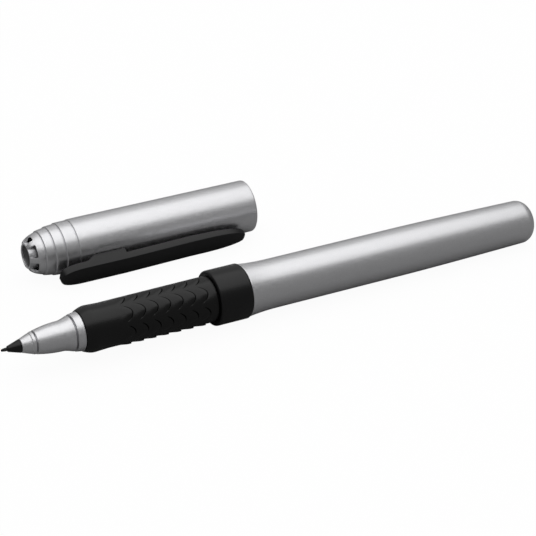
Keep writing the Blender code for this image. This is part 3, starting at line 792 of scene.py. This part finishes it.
    moved = add_node(tree, "GeometryNodeSetPosition", {"Geometry": given["Sleeve"], "Offset": offset})
    end_tree(tree, moved, given["Finish"])
    return tree


def add_tree(holder, tree, **inputs):
    """Puts a tree on an object as a modifier, with its inputs set by their identifiers."""
    modifier = holder.modifiers.new(tree.name, "NODES")
    modifier.node_group = tree
    for item in tree.interface.items_tree:
        if item.in_out == "INPUT" and item.name in inputs:
            modifier[item.identifier] = inputs[item.name]


def made_plain(holder):
    """Turns what the modifiers make into the object's own mesh, and drops the modifiers."""
    graph = bpy.context.evaluated_depsgraph_get()
    mesh = bpy.data.meshes.new_from_object(holder.evaluated_get(graph))
    holder.modifiers.clear()
    holder.data = mesh


grip_scales = scale_tree()
print("tree", grip_scales.name, "has", len(grip_scales.nodes), "nodes")

# %% [markdown]
# The sleeve itself is turned, with a short bevel in front. It gets its rings just where the scales need
# them: close together at the edges, so that these come out crisp, and far apart where it is smooth.

# %% Rubber grip
GRIP_LIP_RADIUS = 4.42
GRIP_LIP_EDGE = 0.12
GRIP_FRONT_RADIUS = 5.05
GRIP_WAIST_RADIUS = 4.90
GRIP_WAIST_STEPS = 8
GRIP_REAR_RADIUS = 5.08
GRIP_BEVEL_LENGTH = 2.30
GRIP_BEVEL_STEPS = 14
GRIP_BORE = 4.01
SCALE_ROWS = 7
SCALE_COUNT = 7
SCALE_PITCH = 2.93
SCALE_LAST_EDGE_FROM_REAR = 2.20
SCALE_BOW = 2.16
SCALE_ROW_PHASE = math.radians(31.3)
SCALE_HEIGHT = 0.25
SCALE_STEP = 0.10
SCALE_GROOVE = 0.26
SCALE_GROOVE_DEPTH = 0.32
SCALE_FOOT = 0.40
SCALE_CREST = 2.50
FACETS_PER_ROW = 40
STEP_RINGS = 3
GROOVE_RINGS = 6
FOOT_RINGS = 3
CLIMB_RINGS = 9
CREST_RINGS = 5


def spread(start, stop, steps):
    """Even stations from behind a start up to a stop."""
    return [start + (stop - start) * step / steps for step in range(1, steps + 1)]


def make_grip():
    start, stop, _ = reach("grip_sleeve", pen_place)
    bevel_end = (start + GRIP_BEVEL_LENGTH, GRIP_FRONT_RADIUS)
    last_edge = stop - SCALE_LAST_EDGE_FROM_REAR
    first_edge = last_edge - (SCALE_COUNT - 1) * SCALE_PITCH
    waist = (first_edge - SCALE_PITCH - SCALE_BOW, GRIP_WAIST_RADIUS)
    rear = (stop, GRIP_REAR_RADIUS)
    lip = (start, GRIP_LIP_RADIUS)
    bevel = eased(lip, bevel_end, GRIP_BEVEL_STEPS, lambda share: math.sin(share * math.pi / 2))

    groove_end = SCALE_STEP + SCALE_GROOVE
    drop = spread(0, SCALE_STEP, STEP_RINGS) + spread(SCALE_STEP, groove_end, GROOVE_RINGS)
    rise = spread(groove_end, SCALE_FOOT, FOOT_RINGS) + spread(SCALE_FOOT, SCALE_CREST, CLIMB_RINGS)
    rise += spread(SCALE_CREST, SCALE_PITCH, CREST_RINGS)
    stations = [first_edge - SCALE_PITCH + behind for behind in [groove_end] + rise]
    for number in range(SCALE_COUNT):
        behind_edge = drop + rise if number < SCALE_COUNT - 1 else drop
        stations += [first_edge + number * SCALE_PITCH + behind for behind in behind_edge]
    slope = (rear[1] - waist[1]) / (rear[0] - waist[0])
    rings = [(along, waist[1] + slope * (along - waist[0]), 0) for along in stations]

    outline = [
        (start, GRIP_BORE, 0),
        (*lip, GRIP_LIP_EDGE),
        *bevel,
        *eased(bevel_end, waist, GRIP_WAIST_STEPS, lambda share: share),
        *rings,
        (*rear, 0),
        (stop, GRIP_BORE, 0),
    ]
    facets = SCALE_ROWS * FACETS_PER_ROW
    grip = drawn("rubber_grip", turned(softened(outline), facets=facets, start=SCALE_ROW_PHASE))
    add_tree(
        grip, grip_scales,
        **{
            "Rows": float(SCALE_ROWS),
            "Count": float(SCALE_COUNT),
            "Pitch": SCALE_PITCH,
            "First Edge": first_edge,
            "Bow": SCALE_BOW,
            "Phase": SCALE_ROW_PHASE,
            "Bore": GRIP_LIP_RADIUS,
            "Height": SCALE_HEIGHT,
            "Step": SCALE_STEP,
            "Groove": SCALE_GROOVE,
            "Depth": SCALE_GROOVE_DEPTH,
            "Foot": SCALE_FOOT,
            "Crest": SCALE_CREST,
            "Finish": rubber,
        },
    )
    made_plain(grip)
    print("scale edges from", round(first_edge, 2), "to", round(last_edge, 2), "mm")
    fitted(grip, pen_place, rubber, "pen", "grip_sleeve")


make_grip()

# %% [markdown]
# The cap is a thin silver shell. Its crown narrows in tiers, each with a fine groove, to a hub, and six
# windows round the hub let air through, as caps of pens must have. The shell is turned with all its
# grooves. The windows repeat, so one cutter is copied round the axis by a tree, which then cuts them all,
# and after them the slot for the clip's neck.

# %% Tree that cuts the crown's windows
def window_tree():
    inputs = {
        "Shell": "Geometry", "Cutter": "Object", "Slot": "Object", "Windows": "Int", "Finish": "Material",
    }
    tree, given = new_tree("cut_crown_windows", inputs, "Cap")

    window = add_node(tree, "GeometryNodeObjectInfo", {"Object": given["Cutter"]}).outputs["Geometry"]
    slot = add_node(tree, "GeometryNodeObjectInfo", {"Object": given["Slot"]}).outputs["Geometry"]
    points = add_node(tree, "GeometryNodePoints", {"Count": given["Windows"]})
    number = add_node(tree, "GeometryNodeInputIndex")
    pitch = add_node(tree, "ShaderNodeMath", {0: math.tau, 1: given["Windows"]}, operation="DIVIDE")
    angle = add_node(tree, "ShaderNodeMath", {0: number, 1: pitch}, operation="MULTIPLY")
    turn = add_node(tree, "ShaderNodeCombineXYZ", {0: angle})
    copies = add_node(
        tree, "GeometryNodeInstanceOnPoints", {"Points": points, "Instance": window, "Rotation": turn},
    )
    cutters = add_node(tree, "GeometryNodeRealizeInstances", {0: copies})
    cut = given["Shell"]
    for cutter in (cutters, slot):
        cut = add_node(
            tree, "GeometryNodeMeshBoolean", {"Mesh 1": cut, "Mesh 2": cutter}, operation="DIFFERENCE",
        )
    end_tree(tree, cut, given["Finish"])
    return tree


crown_windows = window_tree()
print("tree", crown_windows.name, "has", len(crown_windows.nodes), "nodes")

# %% [markdown]
# The crown's curve is a power curve from the full radius down to the hub, the same outside and inside, so
# the wall stays even. Each tier is tilted a little against that curve, so that it starts lower than the
# tier before it ended. That makes the small notches in the cap's outline.

# %% Outline of the cap shell
CAP_BORE = 5.46
CAP_BORE_EDGE = 0.12
CAP_LIP_ROUNDING = 0.40
CROWN_LENGTH = 13.95
CROWN_RINGS_FROM_END = (10.85, 7.75, 5.35, 3.20)
CROWN_RING_DEPTH = 0.24
CROWN_RING_WIDTH = 0.36
CROWN_RING_EDGE = 0.06
CROWN_RING_FLOOR = 0.08
CROWN_TIER_TILT = 0.16
CROWN_TIER_STEPS = 6
CROWN_END_STEPS = 16
CROWN_INSIDE_STEPS = 18
CROWN_WALL = 0.72
CROWN_SHOULDER_POWER = 2.30
CROWN_DOME_POWER = 0.56
HUB_RADIUS = 2.90
HUB_BORE = 2.50
HUB_DEPTH = 5.00
HUB_EDGE = 0.10


def crown_curve(along, start, stop, full):
    """Radius of the crown between its start, where it is full, and its stop, at the hub."""
    share = min(1.0, max(0.0, (along - start) / (stop - start)))
    return HUB_RADIUS + (full - HUB_RADIUS) * (1 - share**CROWN_SHOULDER_POWER) ** CROWN_DOME_POWER


def spaced(first, last, count):
    """Stations between two ends, closer towards the last."""
    return [first + (last - first) * math.sin(math.pi / 2 * step / count) for step in range(1, count + 1)]


def crown_outside(length, radius):
    """Corners of the crown's tiers and ring grooves, up to the end of the cap."""
    crown_start = length - CROWN_LENGTH

    def outer(along):
        return crown_curve(along, crown_start, length, radius)

    corners = []
    last = crown_start
    tilt = 0.0
    for back in CROWN_RINGS_FROM_END:
        ring = length - back
        start = ring - CROWN_RING_WIDTH / 2
        stop = ring + CROWN_RING_WIDTH / 2
        for step in range(1, CROWN_TIER_STEPS):
            share = step / CROWN_TIER_STEPS
            along = last + (start - last) * share
            corners.append((along, outer(along) + tilt * (share - 0.5), 0))
        corners.append((start, outer(start) + tilt / 2, CROWN_RING_EDGE))
        tilt = CROWN_TIER_TILT
        corners.append((ring, outer(ring) - CROWN_RING_DEPTH, CROWN_RING_FLOOR))
        corners.append((stop, outer(stop) - tilt / 2, CROWN_RING_EDGE))
        last = stop
    for along in spaced(last, length, CROWN_END_STEPS):
        share = (along - last) / (length - last)
        corners.append((along, outer(along) - tilt / 2 * (1 - share), 0))
    return corners


def shell_corners(length, radius):
    """The whole outline of the shell: lip, crown, hub and the way back along the inside."""
    crown_start = length - CROWN_LENGTH
    cavity_end = length - CROWN_WALL
    hub_start = length - HUB_DEPTH
    corners = [
        (0, CAP_BORE, CAP_BORE_EDGE),
        (0, radius, CAP_LIP_ROUNDING),
        (crown_start, radius, 0),
        *crown_outside(length, radius),
        (length, HUB_BORE, HUB_EDGE),
        (hub_start, HUB_BORE, 0),
        (hub_start, HUB_RADIUS, 0),
    ]
    for along in reversed(spaced(crown_start, cavity_end, CROWN_INSIDE_STEPS)):
        corners.append((along, crown_curve(along, crown_start, cavity_end, CAP_BORE), 0))
    corners.append((crown_start, CAP_BORE, 0))
    return corners


_, cap_length, cap_radius = reach("cap_shell", cap_place)
print("cap outline has", len(shell_corners(cap_length, cap_radius)), "corners")

# %% [markdown]
# A window is cut by a short wedge of a ring. Its rear wall slants with the crown, and the two corners that
# show are rounded by a bevel of the wedge itself. A bevel after the cut would have to find them again.

# %% Window cutter and cap shell
WINDOW_COUNT = 6
WINDOW_ARC = math.radians(42.0)
WINDOW_SIDE_SHARE = 0.49
WINDOW_REAR_FROM_END = 1.55
WINDOW_SLANT = 0.75
WINDOW_FACETS = 4
WINDOW_CORNER = 0.30
WINDOW_CORNER_STEPS = 4
WINDOW_HUB_GAP = 0.02
SLOT_LENGTH = 6.60
SLOT_WIDTH = 3.60
SLOT_MARGIN = 1.0


def box(along, out, across):
    """A bmesh block between pairs of limits along three axes."""
    work = bmesh.new()
    bmesh.ops.create_cube(work, size=1.0)
    sizes = [high - low for low, high in (along, out, across)]
    middle = [(high + low) / 2 for low, high in (along, out, across)]
    bmesh.ops.scale(work, vec=sizes, verts=work.verts[:])
    bmesh.ops.translate(work, vec=middle, verts=work.verts[:])
    return work


def window_wedge(length, radius):
    """A bmesh wedge that cuts one window, with its two rear corners rounded."""
    rear = length - WINDOW_REAR_FROM_END
    edge = crown_curve(rear, length - CROWN_LENGTH, length, radius)
    low = HUB_RADIUS + WINDOW_HUB_GAP
    beyond = length + CROWN_WALL + radius
    outline = [
        (rear + WINDOW_SLANT * (radius - edge), radius),
        (beyond, radius),
        (beyond, low),
        (rear + WINDOW_SLANT * (low - edge), low),
    ]
    work = turned(outline, facets=WINDOW_FACETS, start=-WINDOW_ARC / 2, sweep=WINDOW_ARC)
    side = WINDOW_SIDE_SHARE * WINDOW_ARC
    corners = []
    for line in work.edges:
        at_rear = all(vert.co.x < length for vert in line.verts)
        at_side = all(abs(math.atan2(vert.co.z, vert.co.y)) > side for vert in line.verts)
        if at_rear and at_side:
            corners.append(line)
    bmesh.ops.bevel(
        work, geom=corners, offset=WINDOW_CORNER, segments=WINDOW_CORNER_STEPS, profile=0.5, affect="EDGES",
    )
    return work


def make_cap_shell():
    shell = drawn("silver_cap", turned(softened(shell_corners(cap_length, cap_radius))))
    cutter = drawn("window_cutter", window_wedge(cap_length, cap_radius))
    slot = drawn("slot_cutter", box(
        (hinge_along - SLOT_LENGTH / 2, hinge_along + SLOT_LENGTH / 2),
        (CAP_BORE - SLOT_MARGIN, cap_radius + SLOT_MARGIN),
        (-SLOT_WIDTH / 2, SLOT_WIDTH / 2),
    ))
    add_tree(shell, crown_windows, Cutter=cutter, Slot=slot, Windows=WINDOW_COUNT, Finish=silver)
    made_plain(shell)
    for helper in (cutter, slot):
        bpy.data.objects.remove(helper, do_unlink=True)
    fitted(shell, cap_place, silver, "cap", "cap_shell")


make_cap_shell()

# %% [markdown]
# Inside the cap sits a black inner cap. Its cone closes on the nose ring and keeps the nib from drying
# out, and its stem plugs the hub, so the crown's end shows a dark disc inside a silver ring.

# %% Inner cap
LINER_WALL = 0.45
LINER_SEAT_LENGTH = 3.40
LINER_SEAT_TAPER = 0.30
LINER_MOUTH_RADIUS = 4.42
LINER_THROAT_RADIUS = 1.00
LINER_END_WALL = 0.60
LINER_ROUNDING = 0.30
LINER_MOUTH_EDGE = 0.10
LINER_FACETS = 72
STEM_RADIUS = 2.38
STEM_LENGTH = 5.00
STEM_EDGE = 0.25


def make_inner_cap():
    start, stop, radius = reach("cap_liner", cap_place)
    seat_end = start + LINER_SEAT_LENGTH
    seat_radius = LINER_MOUTH_RADIUS - LINER_SEAT_TAPER
    stem_start = stop - STEM_LENGTH
    throat = stem_start - LINER_END_WALL
    corners = [
        (throat, 0, 0),
        (throat, LINER_THROAT_RADIUS, LINER_ROUNDING),
        (seat_end, seat_radius, LINER_ROUNDING),
        (start, LINER_MOUTH_RADIUS, LINER_MOUTH_EDGE),
        (start, radius, LINER_MOUTH_EDGE),
        (seat_end, seat_radius + LINER_WALL, LINER_ROUNDING),
        (stem_start, STEM_RADIUS, LINER_ROUNDING),
        (stop, STEM_RADIUS, STEM_EDGE),
        (stop, 0, 0),
    ]
    liner = drawn("black_inner_cap", turned(softened(corners), facets=LINER_FACETS))
    fitted(liner, cap_place, black, "cap", "cap_liner")


make_inner_cap()

# %% [markdown]
# The pocket clip is a black spring bar. It leans in towards the cap as far as a bead, lifts again at its
# tip, and only its foot reaches in to the shell. A box could be bevelled, but the foot has to follow the
# shell's curve. So the bar is lofted: a section with rounded corners is drawn at every station, its sizes
# come from the side outline and the plan outline, and the rings are bridged.

# %% Sections of the pocket clip
CLIP_HALF_WIDTH = 2.65
CLIP_INNER = 7.14
CLIP_THICKNESS = 2.05
CLIP_LEAN = 0.35
CLIP_BEAD_FROM_TIP = 14.00
CLIP_TIP_LIFT = 0.36
CLIP_END_ROUNDING = 0.90
CLIP_TIP_TAPER = 11.00
CLIP_TAIL_TAPER = 6.00
CLIP_PLAN_POWER = 2.41
CLIP_CROWNING = 0.12
CLIP_CROWNING_POWER = 3
CLIP_OUTER_EDGE = 0.20
CLIP_INNER_EDGE = 0.12
CLIP_EDGE_STEPS = 3
CLIP_STEPS_ACROSS = 12
FOOT_HALF_LENGTH = 3.45
FOOT_RAMP = 2.60
FOOT_SEAT_GAP = 0.26


def between(along, first, last):
    """How far a station is between two others, from 0 to 1."""
    return min(1.0, max(0.0, (along - first) / (last - first)))


def clip_section(along, tip, tail_end):
    """The clip's cross-section at one station, as points (along, out, across)."""
    foot_start = hinge_along - FOOT_HALF_LENGTH
    foot_end = hinge_along + FOOT_HALF_LENGTH
    bead = tip + CLIP_BEAD_FROM_TIP
    lean = CLIP_LEAN * (1 - between(along, bead, foot_start))
    from_end = min(along - tip, tail_end - along)
    into_end = CLIP_END_ROUNDING * (1 - between(from_end, 0, CLIP_END_ROUNDING))
    cut = CLIP_END_ROUNDING - math.sqrt(CLIP_END_ROUNDING**2 - into_end**2)
    outer = CLIP_INNER + CLIP_THICKNESS - lean - cut
    inner = CLIP_INNER - lean + cut + CLIP_TIP_LIFT * (1 - between(along, tip, bead))

    narrowing = min((along - tip) / CLIP_TIP_TAPER, (tail_end - along) / CLIP_TAIL_TAPER, 1.0)
    half = CLIP_HALF_WIDTH * (1 - (1 - narrowing) ** CLIP_PLAN_POWER) ** (1 / CLIP_PLAN_POWER)

    seat = cap_radius + FOOT_SEAT_GAP
    if foot_start <= along < foot_end + FOOT_RAMP:
        foot_depth = math.sqrt(cap_radius**2 - CLIP_HALF_WIDTH**2)
        inner = foot_depth + (inner - foot_depth) * between(along, foot_end, foot_end + FOOT_RAMP)

    under, over = [], []
    for step in range(CLIP_STEPS_ACROSS + 1):
        share = 2 * step / CLIP_STEPS_ACROSS - 1
        at_side = abs(share) == 1
        across = half * share
        seated = max(inner, math.sqrt(seat**2 - across**2))
        under.append((seated, across, CLIP_INNER_EDGE if at_side else 0))
        crowned = outer - CLIP_CROWNING * abs(share) ** CLIP_CROWNING_POWER
        over.append((crowned, across, CLIP_OUTER_EDGE if at_side else 0))
    outline = softened(under + over[::-1], steps=CLIP_EDGE_STEPS)
    return [(along, out, across) for out, across in outline]


print("clip is", 2 * CLIP_HALF_WIDTH, "mm wide and", CLIP_THICKNESS, "mm thick")

# %% [markdown]
# The sections stand closer together towards both ends of the bar, where its outline turns fastest. The neck
# that reaches through the shell's slot is a plain hidden block, so a Boolean modifier joins it to the foot.

# %% Pocket clip
NECK_LENGTH = 6.00
NECK_WIDTH = 3.00
NECK_DEPTH = 0.85
CLIP_STATIONS = 120
CLIP_STATION_CROWDING = 0.86


def lofted(sections):
    """Bridges rings of equal count and caps both ends."""
    work = bmesh.new()
    rings = [[work.verts.new(point) for point in section] for section in sections]
    for near, far in zip(rings, rings[1:]):
        for number in range(len(near)):
            after = (number + 1) % len(near)
            work.faces.new((near[number], near[after], far[after], far[number]))
    work.faces.new(rings[0])
    work.faces.new(list(reversed(rings[-1])))
    bmesh.ops.recalc_face_normals(work, faces=work.faces[:])
    return work


def make_clip():
    tip, tail_end, _ = reach("pocket_clip", cap_place)
    foot_start = hinge_along - FOOT_HALF_LENGTH
    foot_end = hinge_along + FOOT_HALF_LENGTH
    stations = [foot_start - SKIN, foot_start, foot_end, foot_end + FOOT_RAMP]
    for step in range(CLIP_STATIONS + 1):
        share = step / CLIP_STATIONS
        crowded = share - CLIP_STATION_CROWDING * math.sin(math.tau * share) / math.tau
        stations.append(tip + SKIN + (tail_end - tip - 2 * SKIN) * crowded)
    sections = [clip_section(along, tip, tail_end) for along in sorted(stations)]
    clip = drawn("black_pocket_clip", lofted(sections))
    neck = drawn("clip_neck", box(
        (hinge_along - NECK_LENGTH / 2, hinge_along + NECK_LENGTH / 2),
        (cap_radius - NECK_DEPTH, CLIP_INNER + CLIP_THICKNESS / 2),
        (-NECK_WIDTH / 2, NECK_WIDTH / 2),
    ))
    join = clip.modifiers.new("neck", "BOOLEAN")
    join.operation = "UNION"
    join.object = neck
    made_plain(clip)
    bpy.data.objects.remove(neck, do_unlink=True)
    fitted(clip, cap_place, black, "clip", "pocket_clip")


make_clip()

# %% [markdown]
# Two soft panels look straight down. The large one hangs overhead, and its front edge draws the line along
# the middle of the silver pieces, where they stop reflecting the panel and start reflecting the room. A
# dimmer one behind it lifts their upper edges. The background is white to the camera and through clear
# film. In gloss it is a dim studio, or the blacks would turn grey.

# %% Light panels and surround
# Places are in metres, and a radiance of 1 is white
PANEL_HEIGHT = 0.90
PANEL_LEFT = -0.70
PANEL_RIGHT = 0.85
PANEL_FRONT = -0.76
PANEL_REAR = 0.63
PANEL_RADIANCE = 1.02
FILL_RIGHT = 1.60
FILL_REAR = 2.80
FILL_RADIANCE = 0.25
ROOM_SEEN = 1.0
ROOM_LIGHT = 0.46
ROOM_IN_GLOSS = 0.20
WHITE = (1, 1, 1, 1)


def add_panel(name, left, right, front, rear, radiance):
    """Hangs a soft panel that looks straight down and is as bright all over as radiance says."""
    panel = bpy.data.objects.new(name, bpy.data.lights.new(name, "AREA"))
    panel.data.shape = "RECTANGLE"
    panel.data.size = right - left
    panel.data.size_y = rear - front
    panel.data.energy = radiance * math.pi * panel.data.size * panel.data.size_y
    panel.location = ((left + right) / 2, (front + rear) / 2, PANEL_HEIGHT)
    bpy.context.collection.objects.link(panel)
    print(name, "gives", round(panel.data.energy, 1), "W")


add_panel("overhead_panel", PANEL_LEFT, PANEL_RIGHT, PANEL_FRONT, PANEL_REAR, PANEL_RADIANCE)
add_panel("rear_panel", PANEL_LEFT, FILL_RIGHT, PANEL_REAR, FILL_REAR, FILL_RADIANCE)


def by_ray(tree, seen, glossy, other):
    """One value for rays from the camera or through clear film, one for glossy rays, one for the rest."""
    path = add_node(tree, "ShaderNodeLightPath").outputs
    clear = add_node(
        tree, "ShaderNodeMath",
        {0: path["Is Camera Ray"], 1: path["Is Transmission Ray"]},
        operation="MAXIMUM",
    )
    unseen = add_node(
        tree, "ShaderNodeMix", {0: path["Is Glossy Ray"], 2: other, 3: glossy}, data_type="FLOAT",
    )
    return add_node(tree, "ShaderNodeMix", {0: clear, 2: unseen, 3: seen}, data_type="FLOAT")


world = bpy.data.worlds.new("studio")
world.use_nodes = True
bpy.context.scene.world = world
world.node_tree.nodes.clear()
room_level = by_ray(world.node_tree, ROOM_SEEN, ROOM_IN_GLOSS, ROOM_LIGHT)
room = add_node(world.node_tree, "ShaderNodeBackground", {"Color": WHITE, "Strength": room_level})
add_node(world.node_tree, "ShaderNodeOutputWorld", {0: room})
print("the room gives", ROOM_LIGHT, "and shows in gloss at", ROOM_IN_GLOSS)

# %% [markdown]
# The floor is a plain sheet of pale paper. A share of glow makes it white to the camera, and the rest of it
# keeps a faint shadow. In the light that it throws back it is a grey, and in the gloss of the pieces it is
# about as dim as the studio.

# %% Floor
FLOOR_HALF_METRES = 4.0
FLOOR_DROP = 0.03
PAPER_SEEN = 0.95
PAPER_IN_GLOSS = 0.21
PAPER_BOUNCE = 0.35
PAPER_ROUGHNESS = 0.9
FLOOR_GLOW_SEEN = 0.95


def make_floor():
    work = bmesh.new()
    bmesh.ops.create_grid(work, x_segments=1, y_segments=1, size=FLOOR_HALF_METRES / MM)
    floor = drawn("floor", work)
    floor.data.transform(Matrix.Translation((0, 0, -FLOOR_DROP * MM)) @ Matrix.Scale(MM, 4))
    made, tree, shader = new_material("pale_paper")
    link(tree, by_ray(tree, PAPER_SEEN, PAPER_IN_GLOSS, PAPER_BOUNCE), shader, "Base Color")
    shader.inputs["Roughness"].default_value = PAPER_ROUGHNESS
    shader.inputs["Specular IOR Level"].default_value = 0.0
    glow = add_node(tree, "ShaderNodeEmission", {"Color": WHITE, "Strength": 1.0})
    glow_share = by_ray(tree, FLOOR_GLOW_SEEN, 0.0, 0.0)
    mixed = add_node(tree, "ShaderNodeMixShader", {0: glow_share, 1: shader, 2: glow})
    link(tree, mixed, tree.nodes["Material Output"], "Surface")
    floor.data.materials.append(made)


make_floor()
bpy.context.scene.view_settings.view_transform = "Standard"
print("floor reaches", FLOOR_HALF_METRES, "m each way")
